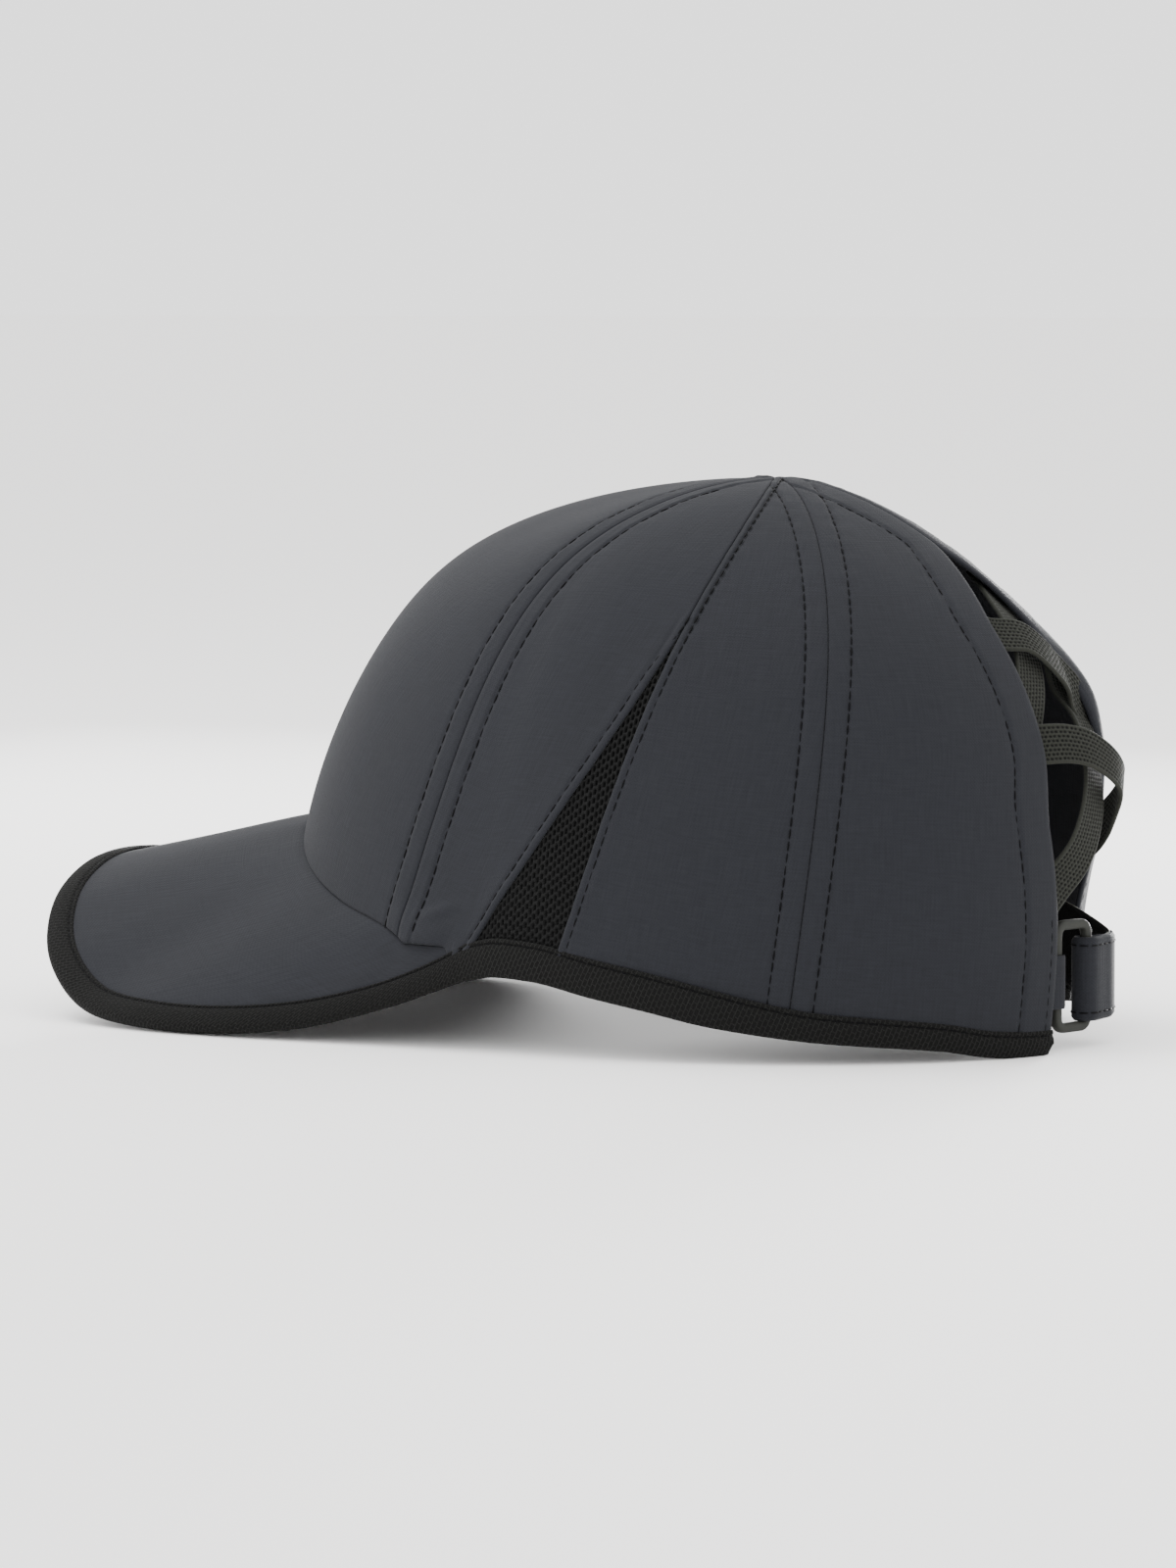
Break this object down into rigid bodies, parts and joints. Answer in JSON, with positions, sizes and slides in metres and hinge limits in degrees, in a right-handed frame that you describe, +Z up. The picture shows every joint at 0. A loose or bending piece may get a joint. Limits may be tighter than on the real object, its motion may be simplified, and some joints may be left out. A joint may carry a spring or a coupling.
{
  "type": "ponytail baseball cap",
  "caption": "Baseball cap with sewn cloth panels, mesh side inserts, a curved brim, bound edges and a tall rear opening laced with elastic straps over a ring-and-strap closure.",
  "frame": {"origin": "centre of the bounding box on the surface that the cap lies on", "axes": "+Z up, +X to the wearer's left, the brim points to -Y and the rear opening faces +Y"},
  "size_m": [0.1626, 0.2812, 0.1371],
  "materials": {
    "shell": "matt plain weave, dark grey",
    "mesh": "knitted mesh with long holes, black",
    "binding": "fine knitted mesh tape, near black",
    "elastic": "ribbed elastic webbing, dark olive grey",
    "ring": "moulded, satin"
  },
  "bodies": {
    "root": {"front_panel": "shell", "side_front_panel_left": "shell", "side_front_panel_right": "shell", "mesh_insert_left": "mesh", "mesh_insert_right": "mesh", "side_back_panel_left": "shell", "side_back_panel_right": "shell", "back_panel_left": "shell", "back_panel_right": "shell", "brim": "shell", "edge_binding": "binding", "elastic_upper_outer": "elastic", "elastic_upper_inner": "elastic", "elastic_lower_outer": "elastic", "elastic_lower_inner": "elastic", "closure_strap": "shell", "closure_ring": "ring", "ring_tab": "shell"}
  },
  "joints": []
}
